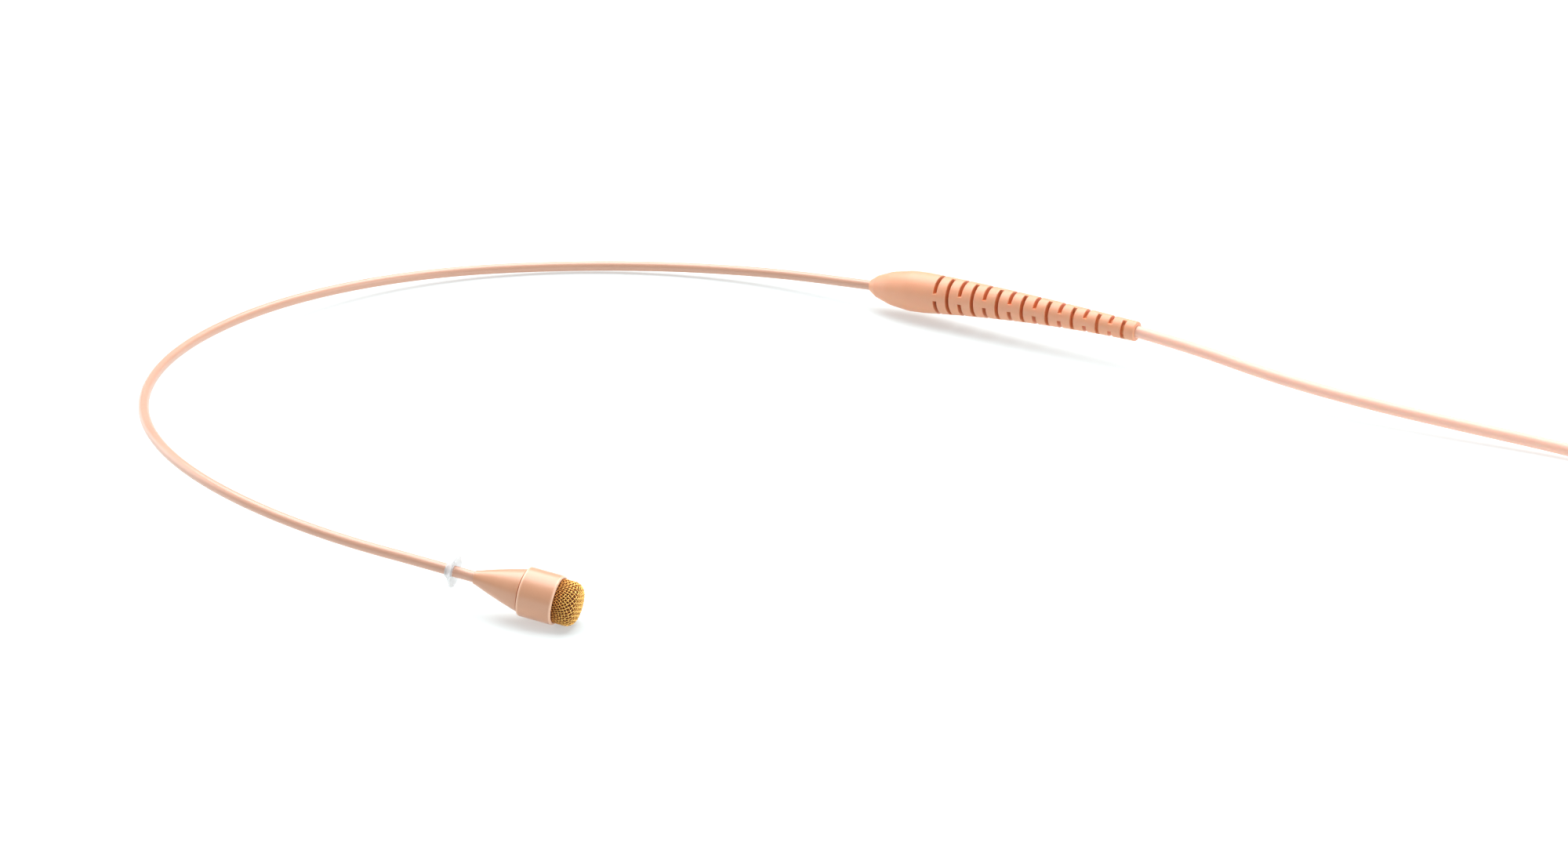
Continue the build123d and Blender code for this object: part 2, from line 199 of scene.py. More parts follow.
def area_light(name, place, aim, size, power):
    """Rectangular light at place that faces aim."""
    data = bpy.data.lights.new(name, "AREA")
    data.shape = "RECTANGLE"
    data.size, data.size_y = size
    data.energy = power
    light = bpy.data.objects.new(name, data)
    light.location = place
    light.rotation_euler = (Vector(aim) - Vector(place)).to_track_quat("-Z", "Y").to_euler()
    bpy.context.scene.collection.objects.link(light)
    return light


SOFTBOX_PLACE = (0.02, 1.1, 2.25)
SOFTBOX_AIM = (0.02, 0.5, 0.0)
SOFTBOX_SIZE = (3.2, 3.0)
SOFTBOX_POWER = 152.0
SIDE_AWAY = (2.0, 1.1, 0.7)             # each panel's place from the middle
SIDE_SIZE = (1.6, 1.4)
SIDE_POWER = 20.0
ROOM_GLOW = 0.2                         # of the unlit room round the softbox
BACKDROP_GLOW = 1.2                     # of what the camera sees past the floor


def make_lights():
    """One large softbox overhead and a panel at each side, in a dim room whose far end is white."""
    world = bpy.data.worlds.new("studio")
    world.use_nodes = True
    tree = world.node_tree
    background = tree.nodes["Background"]
    background.inputs["Color"].default_value = (1.0, 1.0, 1.0, 1.0)
    seen = tree.nodes.new("ShaderNodeLightPath")
    strength = tree.nodes.new("ShaderNodeMapRange")
    strength.inputs["To Min"].default_value = ROOM_GLOW
    strength.inputs["To Max"].default_value = BACKDROP_GLOW
    tree.links.new(seen.outputs["Is Camera Ray"], strength.inputs["Value"])
    tree.links.new(strength.outputs["Result"], background.inputs["Strength"])
    bpy.context.scene.world = world
    bpy.context.scene.view_settings.view_transform = "Standard"
    area_light("softbox", SOFTBOX_PLACE, SOFTBOX_AIM, SOFTBOX_SIZE, SOFTBOX_POWER)
    across, along, up = SIDE_AWAY
    for side in (-1, 1):
        place = (side * across, -side * along, up)
        area_light(f"side_{side}", place, (0.02, 0.0, 0.0), SIDE_SIZE, SIDE_POWER)


FLOOR_HALF = 20.0
FLOOR_COLOUR = (0.45, 0.51, 0.52)
GLOW_NEAR = 0.46
GLOW_FAR = 1.1
GLOW_FROM = 0.085                       # distance from the middle where the floor's own light starts to grow
GLOW_TO = 0.2


def make_floor():
    """White sweep lit from below as well, and more so where the softbox no longer reaches."""
    bm = bmesh.new()
    bmesh.ops.create_grid(bm, x_segments=8, y_segments=8, size=FLOOR_HALF)
    mesh = bpy.data.meshes.new("floor")
    bm.to_mesh(mesh)
    bm.free()
    floor = bpy.data.objects.new("floor", mesh)
    bpy.context.scene.collection.objects.link(floor)
    paper = bpy.data.materials.new("white_paper")
    paper.use_nodes = True
    tree = paper.node_tree
    shader = tree.nodes["Principled BSDF"]
    shader.inputs["Base Color"].default_value = (*FLOOR_COLOUR, 1)
    shader.inputs["Roughness"].default_value = 0.9
    shader.inputs["Specular IOR Level"].default_value = 0.0
    shader.inputs["Emission Color"].default_value = (1, 1, 1, 1)
    place = tree.nodes.new("ShaderNodeTexCoord")
    far = tree.nodes.new("ShaderNodeVectorMath")
    far.operation = "LENGTH"
    glow = tree.nodes.new("ShaderNodeMapRange")
    glow.inputs["From Min"].default_value = GLOW_FROM
    glow.inputs["From Max"].default_value = GLOW_TO
    glow.inputs["To Min"].default_value = GLOW_NEAR
    glow.inputs["To Max"].default_value = GLOW_FAR
    tree.links.new(place.outputs["Object"], far.inputs["Vector"])
    tree.links.new(far.outputs["Value"], glow.inputs["Value"])
    tree.links.new(glow.outputs["Result"], shader.inputs["Emission Strength"])
    mesh.materials.append(paper)


# ---------------------------------------------------------------- mesh tools


def rounded_outline(corners, steps=6):
    """Outline through (along, radius, rounding) corners, with an arc at each corner that has a rounding."""
    outline = []
    count = len(corners)
    for index, (along, radius, rounding) in enumerate(corners):
        here = Vector((along, radius))
        if not rounding:
            outline.append(here)
            continue
        to_last = (Vector(corners[index - 1][:2]) - here).normalized()
        to_next = (Vector(corners[(index + 1) % count][:2]) - here).normalized()
        half = to_last.angle(to_next) / 2
        centre = here + (to_last + to_next).normalized() * rounding / math.sin(half)
        first = here + to_last * rounding / math.tan(half) - centre
        last = here + to_next * rounding / math.tan(half) - centre
        for step in range(steps + 1):
            outline.append(centre + first.lerp(last, step / steps).normalized() * rounding)
    return outline


def curve_between(first, last, bulge, steps=16):
    """Corners with no rounding along a shallow arc from first to last, bulge proud at its middle."""
    first, last = Vector(first), Vector(last)
    chord = last - first
    out = Vector((-chord.y, chord.x)).normalized()
    corners = []
    for step in range(1, steps):
        share = step / steps
        place = first.lerp(last, share) + out * bulge * 4 * share * (1 - share)
        corners.append((place.x, place.y, 0))
    return corners


def add_object(name, points, faces, material, smooth_degrees=35):
    """Mesh object from points and faces, normals outward, smooth but for its sharp edges."""
    mesh = bpy.data.meshes.new(name)
    mesh.from_pydata([tuple(point) for point in points], [], faces)
    bm = bmesh.new()
    bm.from_mesh(mesh)
    bmesh.ops.recalc_face_normals(bm, faces=bm.faces)
    bm.to_mesh(mesh)
    bm.free()
    mesh.shade_smooth()
    mesh.set_sharp_from_angle(angle=math.radians(smooth_degrees))
    mesh.materials.append(material)
    made = bpy.data.objects.new(name, mesh)
    bpy.context.scene.collection.objects.link(made)
    return made


def mark_points(made, attribute, values):
    """Gives each vertex a value that the material reads."""
    marks = made.data.attributes.new(attribute, "FLOAT", "POINT")
    marks.data.foreach_set("value", values)


def grid_faces(rows, columns, first=0, loop=False):
    """Quads of a tube of rows rings, each of columns points; loop joins the last ring to the first."""
    faces = []
    for row in range(rows if loop else rows - 1):
        here = first + row * columns
        after = first + ((row + 1) % rows) * columns
        for column in range(columns):
            beside = (column + 1) % columns
            faces.append((here + column, here + beside, after + beside, after + column))
    return faces


def end_faces(rows, columns, first=0):
    """The two flat ends of a tube."""
    last = first + (rows - 1) * columns
    return [tuple(range(first, first + columns)), tuple(range(last, last + columns))]


def turned(name, outline, place, material, segments=128):
    """Solid of revolution from a closed outline of (along, radius), about the z axis of place."""
    angles = np.linspace(0, 2 * math.pi, segments, endpoint=False)
    along, radius = np.array([tuple(point) for point in outline]).T
    points = np.empty((len(outline), segments, 3))
    points[..., 0] = radius[:, None] * np.cos(angles)
    points[..., 1] = radius[:, None] * np.sin(angles)
    points[..., 2] = along[:, None]
    faces = grid_faces(len(outline), segments, loop=True)
    return add_object(name, moved(points.reshape(-1, 3), place), faces, material)


def moved(points, place):
    """Points of an array, carried by a matrix."""
    matrix = np.array(place)
    return points @ matrix[:3, :3].T + matrix[:3, 3]


def tube(name, stations, radius, material, segments=48):
    """Closed tube through stations."""
    angles = np.linspace(0, 2 * math.pi, segments, endpoint=False)
    ring = np.stack([radius * np.cos(angles), radius * np.sin(angles), np.zeros(segments)], axis=1)
    points = np.concatenate([moved(ring, place) for place in stations])
    faces = grid_faces(len(stations), segments) + end_faces(len(stations), segments)
    return add_object(name, points, faces, material)


# ---------------------------------------------------------------- materials


class Surface:
    """A Principled material and the few nodes that its detail needs."""

    def __init__(self, name, colour, roughness, metallic=0.0, **sockets):
        self.material = bpy.data.materials.new(name)
        self.material.use_nodes = True
        self.tree = self.material.node_tree
        self.shader = self.tree.nodes["Principled BSDF"]
        self.colour = colour
        self.roughness = roughness
        self.shader.inputs["Base Color"].default_value = (*colour, 1)
        self.shader.inputs["Roughness"].default_value = roughness
        self.shader.inputs["Metallic"].default_value = metallic
        for socket, value in sockets.items():
            self.shader.inputs[socket.replace("_", " ")].default_value = value
        self.place = self.tree.nodes.new("ShaderNodeTexCoord").outputs["Object"]
        self.height = None

    def noise(self, size, detail=3.0):
        """Noise with features about size metres across."""
        node = self.tree.nodes.new("ShaderNodeTexNoise")
        node.inputs["Scale"].default_value = 1 / size
        node.inputs["Detail"].default_value = detail
        self.tree.links.new(self.place, node.inputs["Vector"])
        return node.outputs["Fac"]

    def spread(self, value, low, high):
        """Value from 0.3 to 0.7, spread over low to high."""
        node = self.tree.nodes.new("ShaderNodeMapRange")
        node.inputs["From Min"].default_value = 0.3
        node.inputs["From Max"].default_value = 0.7
        node.inputs["To Min"].default_value = low
        node.inputs["To Max"].default_value = high
        self.tree.links.new(value, node.inputs["Value"])
        return node.outputs["Result"]

    def tint(self, size, other, amount):
        """Lets the colour drift towards another one in patches."""
        mix = self.tree.nodes.new("ShaderNodeMix")
        mix.data_type = "RGBA"
        mix.inputs["A"].default_value = self.shader.inputs["Base Color"].default_value[:]
        mix.inputs["B"].default_value = (*other, 1)
        self.tree.links.new(self.spread(self.noise(size), 0, amount), mix.inputs["Factor"])
        self.tree.links.new(mix.outputs["Result"], self.shader.inputs["Base Color"])
        return self

    def shine(self, size, change):
        """Lets the roughness vary."""
        value = self.spread(self.noise(size), self.roughness - change, self.roughness + change)
        self.tree.links.new(value, self.shader.inputs["Roughness"])
        return self

    def grain(self, size, depth, detail=2.0):
        """Small relief of that depth in metres; a second call adds to the first."""
        bump = self.tree.nodes.new("ShaderNodeBump")
        bump.inputs["Distance"].default_value = depth
        self.tree.links.new(self.noise(size, detail), bump.inputs["Height"])
        if self.height:
            self.tree.links.new(self.height, bump.inputs["Normal"])
        self.height = bump.outputs["Normal"]
        self.tree.links.new(self.height, self.shader.inputs["Normal"])
        return self


def darker(colour, share):
    """Colour scaled down to a share of itself."""
    return tuple(channel * share for channel in colour)


def plain_surface(slot, colour, roughness, metallic=0.0, grain_size=0.15e-3, grain_depth=2e-6):
    """Moulded, turned or rolled stuff that differs from others in its numbers only."""
    surface = Surface(slot, colour, roughness, metallic)
    surface.tint(1.5e-3, darker(colour, 0.85), 0.5)
    surface.shine(0.4e-3, 0.06)
    return surface.grain(grain_size, grain_depth)


BOOM_COLOUR = (0.67, 0.37, 0.26)
CAPSULE_COLOUR = (0.69, 0.345, 0.205)
# Paler lacquer for the painted highlight on the collar's rims.
RIM_HIGHLIGHT_COLOUR = (0.93, 0.57, 0.39)
RELIEF_COLOUR = (0.80, 0.385, 0.23)
# Deeper, darker colour for the painted shade inside the relief's slots.
SLOT_SHADE_COLOUR = (0.72, 0.25, 0.10)
CABLE_COLOUR = (0.95, 0.57, 0.445)
GOLD_COLOUR = (0.95, 0.60, 0.18)
# Dark brown for the painted shade on the weave near the collar.
GOLD_SHADE_COLOUR = (0.56, 0.20, 0.05)


def lacquer(slot, colour):
    """Satin lacquer on metal, with a faint orange peel."""
    surface = Surface(slot, colour, 0.38, Coat_Weight=0.5, Coat_Roughness=0.3)
    surface.tint(3e-3, darker(colour, 0.95), 0.8)
    surface.shine(0.8e-3, 0.05)
    return surface.grain(0.35e-3, 1.2e-6).grain(0.08e-3, 0.6e-6)


def elastomer(slot, colour, glow):
    """Soft moulded elastomer that light goes into a little."""
    surface = Surface(slot, colour, 0.42, Subsurface_Weight=glow, Subsurface_Scale=0.8e-3)
    surface.shader.inputs["Subsurface Radius"].default_value = (1.0, 0.3, 0.15)
    surface.tint(4e-3, darker(colour, 0.96), 0.8)
    surface.shine(1e-3, 0.05)
    return surface.grain(0.12e-3, 1.5e-6)


def tinted(surface, attribute, colour):
    """Lets the colour go over to another one as a point attribute goes from 0 to 1."""
    share = surface.tree.nodes.new("ShaderNodeAttribute")
    share.attribute_name = attribute
    mix = surface.tree.nodes.new("ShaderNodeMix")
    mix.data_type = "RGBA"
    before = surface.shader.inputs["Base Color"].links[0].from_socket
    surface.tree.links.new(before, mix.inputs["A"])
    mix.inputs["B"].default_value = (*colour, 1)
    surface.tree.links.new(share.outputs["Fac"], mix.inputs["Factor"])
    surface.tree.links.new(mix.outputs["Result"], surface.shader.inputs["Base Color"])
    return surface


def silicone(slot):
    """Clear silicone, a little milky."""
    surface = Surface(slot, (0.80, 0.81, 0.82), 0.4, Transmission_Weight=0.3, IOR=1.41, Alpha=0.6)
    surface.shine(0.6e-3, 0.08)
    return surface.grain(0.3e-3, 2e-6)


def gold(slot):
    """Gold-plated wire, a little uneven."""
    surface = Surface(slot, GOLD_COLOUR, 0.3, 1.0)
    surface.tint(0.5e-3, (0.86, 0.47, 0.13), 0.7)
    surface.shine(0.15e-3, 0.08)
    return surface.grain(0.04e-3, 1.0e-6)


SURFACES = {
    "boom_coat": lacquer("boom_coat", BOOM_COLOUR),
    # The relief's slots carry painted shade, deeper with depth.
    "relief_elastomer": tinted(elastomer("relief_elastomer", RELIEF_COLOUR, 0.3), "slot_depth", SLOT_SHADE_COLOUR),
    # The collar's rims carry a painted highlight.
    "capsule_paint": tinted(lacquer("capsule_paint", CAPSULE_COLOUR), "rim", RIM_HIGHLIGHT_COLOUR),
    # The weave goes darker towards the collar: painted shade.
    "gold_mesh": tinted(gold("gold_mesh"), "painted_light", GOLD_SHADE_COLOUR),
    "clear_silicone": silicone("clear_silicone"),
    "cable_jacket": elastomer("cable_jacket", CABLE_COLOUR, 0.25),
    "lead_insulation": plain_surface("lead_insulation", (0.61, 0.22, 0.16), 0.45),
    "wire_copper": plain_surface("wire_copper", (0.85, 0.42, 0.24), 0.3, 1.0),
    "brass_insert": plain_surface("brass_insert", (0.82, 0.60, 0.26), 0.32, 1.0),
    "crimp_steel": plain_surface("crimp_steel", (0.62, 0.62, 0.64), 0.35, 1.0),
    "shrink_sleeve": plain_surface("shrink_sleeve", (0.045, 0.045, 0.048), 0.5, 0.0, 0.3e-3, 6e-6),
    "cartridge_metal": plain_surface("cartridge_metal", (0.66, 0.66, 0.68), 0.28, 1.0),
    "diaphragm_foil": plain_surface("diaphragm_foil", (0.80, 0.80, 0.83), 0.15, 1.0),
    "backplate_metal": plain_surface("backplate_metal", (0.72, 0.52, 0.24), 0.3, 1.0),
    "insulator_plastic": plain_surface("insulator_plastic", (0.80, 0.78, 0.72), 0.5),
    "board_laminate": plain_surface("board_laminate", (0.02, 0.16, 0.07), 0.45),
    "board_chip": plain_surface("board_chip", (0.02, 0.02, 0.022), 0.4),
    "screen_cloth": plain_surface("screen_cloth", (0.22, 0.06, 0.015), 0.9, 0.0, 0.06e-3, 20e-6),
    "seal_silicone": plain_surface("seal_silicone", (0.06, 0.06, 0.065), 0.45),
    "plug_boot_rubber": plain_surface("plug_boot_rubber", (0.03, 0.03, 0.032), 0.55, 0.0, 0.2e-3, 8e-6),
    "plug_nickel": plain_surface("plug_nickel", (0.66, 0.65, 0.62), 0.22, 1.0),
    "plug_gold": plain_surface("plug_gold", (0.90, 0.62, 0.22), 0.25, 1.0),
}


def finish_of(slot):
    """Material of a slot."""
    return SURFACES[slot].material


def dress_cad_nodes():
    """Gives each CAD node the finish of its slot in the record."""
    for subpart in frame["record"]["subparts"]:
        node = frame["nodes"][subpart["node"]]
        node.data.materials.clear()
        node.data.materials.append(finish_of(subpart["material_slot"]))
        node.data.shade_smooth()
        node.data.set_sharp_from_angle(angle=math.radians(30))


def stand_in(made, body, slot, *nodes):
    """Rides a piece on a body in place of CAD nodes."""
    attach(made, body)
    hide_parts(*nodes)
    return made


# ---------------------------------------------------------------- boom

BOOM_INSIDE = 4.6e-3                    # of the root in the relief
TIP_INSIDE = 2.8e-3                     # of the tip in the capsule
STRETCH = SOCKET_LENGTH + ARC_LENGTH
BOOM_STEP = 0.5e-3                      # between the tube's rings
BLEND = [                               # bodies, and the bend's reach before and after its point
    ("microphone", "boom_1", 5.5e-3, 7e-3),
    ("boom_1", "boom_2", 8e-3, 8e-3),
    ("boom_2", "boom_3", 8e-3, 8e-3),
    ("boom_3", "boom_4", 8e-3, 8e-3),
    ("boom_4", "capsule", 6e-3, 2e-3),
]


def boom_station(distance):
    """Station on the boom, measured from its first bend point."""
    if distance < 0:
        return straight_on(BENDS[0], distance)
    number = min(int(distance / STRETCH), len(ARCS))
    return stretch_station(number, distance - number * STRETCH)


def make_boom():
    """Boom as one tube for each bend point, from the middle of one stretch to the middle of the next."""
    for number, (before, after, reach_before, reach_after) in enumerate(BLEND):
        start = (number - 0.5) * STRETCH if number else -BOOM_ROOT - BOOM_INSIDE
        end = (number + 0.5) * STRETCH if number < len(ARCS) else number * STRETCH + BOOM_TIP + TIP_INSIDE
        count = math.ceil((end - start) / BOOM_STEP) + 1
        stations = [boom_station(distance) for distance in np.linspace(start, end, count)]
        piece = tube(f"boom_{number}", stations, BOOM_RADIUS, finish_of("boom_coat"))
        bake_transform(piece)
        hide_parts("boom_root_tube" if number == 0 else f"boom_tube_{number}")
        if number == len(ARCS):
            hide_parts("boom_tip_tube")


# ---------------------------------------------------------------- relief

RELIEF_COLUMNS = 240
NOSE_OUTLINE = [                        # from the nose: along, radius, rounding
    (0, 0.45e-3, 0),
    (0, 0.82e-3, 0.12e-3),
    (1.1e-3, 1.52e-3, 0.25e-3),
    (3.3e-3, 2.27e-3, 6e-3),
    (LAND_START, LAND_RADIUS, 5e-3),
    (LAND_END, LAND_RADIUS, 0),
]
SLOT_FLOOR = CABLE_RADIUS + 0.03e-3
SLOT_EDGE = 0.07e-3
FULL_SHADE_DEPTH = 0.3e-3                     # where the painted shade in the slots is full
TAIL_EDGE = 0.15e-3


def relief_radius(distance):
    """Outer radius of the taper behind the land."""
    left = max(0.0, (RELIEF_LENGTH - distance) / (RELIEF_LENGTH - LAND_END))
    return TAIL_RADIUS + (LAND_RADIUS - TAIL_RADIUS) * left ** TAPER_POWER


def slot_rows(middle):
    """(distance, depth below the outer surface) across one slot, its edges rounded."""
    half = SLOT_WIDTH / 2
    turns = [math.radians(angle) for angle in (0, 22.5, 45, 67.5, 90)]
    edge = [(half + SLOT_EDGE * (1 - math.sin(turn)), SLOT_EDGE * (1 - math.cos(turn))) for turn in turns]
    wall = [(half, LAND_RADIUS * share) for share in (0.12, 0.25, 0.45, 1.0)]
    floor = [(half - 0.05e-3, LAND_RADIUS), (0, LAND_RADIUS)]
    down = edge + wall + floor
    rows = [(middle - offset, depth) for offset, depth in down]
    return rows + [(middle + offset, depth) for offset, depth in reversed(down[:-1])]


def relief_rows():
    """(distance, radius, depth, slot number or None) of every ring, from nose to tail."""
    rows = [(point.x, point.y, 0, None) for point in rounded_outline(NOSE_OUTLINE, 10)]
    for number in range(SLOTS):
        middle = FIRST_SLOT + number * SLOT_PITCH
        rows += [(at, relief_radius(at), depth, number) for at, depth in slot_rows(middle)]
        between = middle + SLOT_PITCH / 2
        if number < SLOTS - 1:
            rows.append((between, relief_radius(between), 0, None))
    for turn in (0, 30, 60, 90):
        turn = math.radians(turn)
        at = RELIEF_LENGTH - TAIL_EDGE * (1 - math.sin(turn))
        rows.append((at, TAIL_RADIUS - TAIL_EDGE * (1 - math.cos(turn)), 0, None))
    rows.append((RELIEF_LENGTH, CABLE_RADIUS * 0.8, 0, None))
    return rows


def slot_radius(number, outer, angles):
    """Radius to the bottom of a slot at each angle: two bridges with flat, parallel sides."""
    away = np.abs(np.sin(angles - BRIDGE_TURN - math.pi / 2 * (number % 2)))
    return np.clip(BRIDGE_WIDTH / 2 / np.maximum(away, 1e-6), SLOT_FLOOR, outer)


def make_relief():
    """One moulding: nose, land and slotted taper, on its drooping axis."""
    angles = np.linspace(0, 2 * math.pi, RELIEF_COLUMNS, endpoint=False)
    rings = []
    depths = []
    rows = relief_rows()
    for distance, outer, depth, number in rows:
        radius = np.full(RELIEF_COLUMNS, outer)
        if number is not None:
            radius = np.maximum(slot_radius(number, outer, angles), outer - depth)
        ring = np.stack([radius * np.cos(angles), radius * np.sin(angles), np.zeros(RELIEF_COLUMNS)], axis=1)
        rings.append(moved(ring, relief_station(distance)))
        # Depth share below the outer surface, which sets the painted shade in the slots.
        depths.append(np.clip((outer - radius) / FULL_SHADE_DEPTH, 0, 1))
    faces = grid_faces(len(rows), RELIEF_COLUMNS) + end_faces(len(rows), RELIEF_COLUMNS)
    relief = add_object("strain_relief", np.concatenate(rings), faces, finish_of("relief_elastomer"), 40)
    mark_points(relief, "slot_depth", np.concatenate(depths))
    stand_in(relief, "microphone", "relief_elastomer", "relief_body")


# ---------------------------------------------------------------- capsule

CONE_TIP_RADIUS = 0.86e-3
CONE_RADIUS = 2.55e-3
CONE_LENGTH = 6.0e-3
SLEEVE_RADIUS = 2.25e-3
SLEEVE_END = 9.4e-3
COLLAR_RADIUS = 2.9e-3
COLLAR_END = 10.35e-3
CAP_BORE = 2.28e-3
MESH_RADIUS = 2.62e-3
MESH_SEAT = 9.6e-3
MESH_CORNER = 1.15e-3
MESH_END = 12.95e-3
MESH_CROWN = 10.0e-3                    # radius of the slightly domed face


def make_housing():
    """Lacquered cone with the plain sleeve that the cap slides on."""
    tip = (0.3e-3, CONE_TIP_RADIUS)
    outline = rounded_outline([
        (0, BOOM_RADIUS, 0),
        (0, CONE_TIP_RADIUS - 0.04e-3, 0.16e-3),
        (*tip, 0),
        *curve_between(tip, (CONE_LENGTH - 0.1e-3, CONE_RADIUS - 0.01e-3), 0.075e-3),
        (CONE_LENGTH - 0.1e-3, CONE_RADIUS - 0.01e-3, 0),
        (CONE_LENGTH, CONE_RADIUS, 0.06e-3),
        (CONE_LENGTH, SLEEVE_RADIUS, 0),
        (7.4e-3, SLEEVE_RADIUS, 0.03e-3),
        (7.4e-3, SLEEVE_RADIUS - 0.15e-3, 0),
        (7.8e-3, SLEEVE_RADIUS - 0.15e-3, 0),
        (7.8e-3, SLEEVE_RADIUS, 0.03e-3),
        (SLEEVE_END, SLEEVE_RADIUS, 0.08e-3),
        (SLEEVE_END, 2.0e-3, 0),
        (6.4e-3, 2.0e-3, 0),
        (6.4e-3, 1.75e-3, 0),
        (3.0e-3, 0.95e-3, 0),
        (1.0e-3, 0.95e-3, 0),
        (1.0e-3, BOOM_RADIUS, 0),
    ])
    housing = turned("capsule_cone", outline, TIP, finish_of("capsule_paint"))
    stand_in(housing, "capsule", "capsule_paint", "capsule_housing")


PARTING_GAP = 0.15e-3                   # between the cone and the collar of the cap
PARTING_RADIUS = COLLAR_RADIUS - 0.5e-3
RIM_HIGHLIGHT_WIDTH = 0.3e-3                     # of the painted highlight at the collar's rims, where the lacquer is painted paler


def make_collar():
    """Lacquered collar of the pull-off cap, its rims painted paler as a highlight."""
    rear_rim = CONE_LENGTH + PARTING_GAP
    outline = rounded_outline([
        (CONE_LENGTH + 0.02e-3, CAP_BORE, 0),
        (CONE_LENGTH + 0.02e-3, PARTING_RADIUS, 0),
        (rear_rim, PARTING_RADIUS, 0),
        (rear_rim, COLLAR_RADIUS, 0.12e-3),
        (rear_rim + RIM_HIGHLIGHT_WIDTH, COLLAR_RADIUS, 0),
        (COLLAR_END - RIM_HIGHLIGHT_WIDTH, COLLAR_RADIUS, 0),
        (COLLAR_END, COLLAR_RADIUS, 0.18e-3),
        (COLLAR_END, MESH_RADIUS, 0),
        (MESH_SEAT, MESH_RADIUS, 0),
        (MESH_SEAT, CAP_BORE, 0),
    ])
    collar = turned("cap_collar", outline, TIP, finish_of("capsule_paint"))
    # Painted highlight: the lacquer goes over to a paler colour near each rim.
    along, radius = np.array([tuple(point) for point in outline]).T
    from_rim = np.minimum(abs(along - rear_rim), abs(along - COLLAR_END))
    painted_light = np.where(radius > COLLAR_RADIUS - 0.2e-3, np.clip(1.4 * (1 - from_rim / RIM_HIGHLIGHT_WIDTH), 0, 1), 0)
    mark_points(collar, "rim", np.repeat(painted_light, len(collar.data.vertices) // len(outline)))
    stand_in(collar, "grid_cap", "capsule_paint", "grid_cap_collar")


WIRE_RADIUS = 0.052e-3
WIRE_PITCH = 0.36e-3
WEAVE_REACH = 4.7e-3                    # of the flat weave from its middle
LINING_DEPTH = 0.3e-3                   # of the dark cloth under the outside of the weave, which also gives the holes painted shade
LINING_REACH = 5.0e-3                   # over the cap, from its middle
LINING_THICK = 0.05e-3
UNSHADED_GOLD_REACH = 1.2e-3                     # of the cap, where the gold is full before the painted shade starts
GOLD_SHADE_FADE = 1.5e-3                      # over which the painted shade darkens the gold
WIRE_SIDES = 8
WAVE_STEPS = 6                          # points along a wire from one crossing to the next
WEAVE_TURN = math.radians(20.0)
CORNER_STRETCH = 0.35e-3                # the weave is drawn most round the corner
STRETCH_START = 1.3e-3                  # from the middle, and over as far again


def cap_surface(reach):
    """(radius, along, lean of the normal) of the cap's outside, reach from its middle over the surface."""
    lean_start = math.asin((MESH_RADIUS - MESH_CORNER) / (MESH_CROWN - MESH_CORNER))
    face = MESH_CROWN * lean_start
    corner = MESH_CORNER * (math.pi / 2 - lean_start)
    lean = np.where(reach < face, reach / MESH_CROWN, lean_start + (reach - face) / MESH_CORNER)
    lean = np.minimum(lean, math.pi / 2)
    on_face = reach < face
    shoulder = MESH_END - MESH_CROWN + (MESH_CROWN - MESH_CORNER) * math.cos(lean_start)
    radius = np.where(on_face, MESH_CROWN * np.sin(lean), MESH_RADIUS - MESH_CORNER * (1 - np.sin(lean)))
    along = np.where(
        on_face,
        MESH_END - MESH_CROWN * (1 - np.cos(lean)),
        shoulder + MESH_CORNER * np.cos(lean) - np.maximum(0, reach - face - corner),
    )
    return radius, along, lean


def weave_point(across, down, lift):
    """Place on the cap of points of the flat weave, lifted out of it, and the normals there."""
    flat = np.hypot(across, down)
    share = np.clip(flat / STRETCH_START - 1, 0, 1)
    reach = flat + CORNER_STRETCH * share * share * (3 - 2 * share)
    radius, along, lean = cap_surface(reach)
    around = np.arctan2(down, across) + WEAVE_TURN
    normal = np.stack([np.sin(lean) * np.cos(around), np.sin(lean) * np.sin(around), np.cos(lean)], axis=1)
    place = np.stack([radius * np.cos(around), radius * np.sin(around), along], axis=1)
    return place + normal * (lift - 2 * WIRE_RADIUS)[:, None], normal


def wire(number, crossways):
    """Points of one wire of the weave, ring by ring, and the number of rings."""
    offset = number * WIRE_PITCH
    half = math.sqrt(WEAVE_REACH ** 2 - offset ** 2)
    count = math.ceil(2 * half / WIRE_PITCH * WAVE_STEPS)
    run = np.linspace(-half, half, count)
    wave = WIRE_RADIUS * np.cos(math.pi * (run / WIRE_PITCH + number))
    if crossways:
        line, normal = weave_point(run, np.full(count, offset), -wave)
    else:
        line, normal = weave_point(np.full(count, offset), run, wave)
    travel = np.gradient(line, axis=0)
    travel /= np.linalg.norm(travel, axis=1)[:, None]
    side = np.cross(travel, normal)
    side /= np.linalg.norm(side, axis=1)[:, None]
    up = np.cross(side, travel)
    angles = np.linspace(0, 2 * math.pi, WIRE_SIDES, endpoint=False)
    ring = np.cos(angles)[None, :, None] * side[:, None] + np.sin(angles)[None, :, None] * up[:, None]
    return (line[:, None] + WIRE_RADIUS * ring).reshape(-1, 3), count


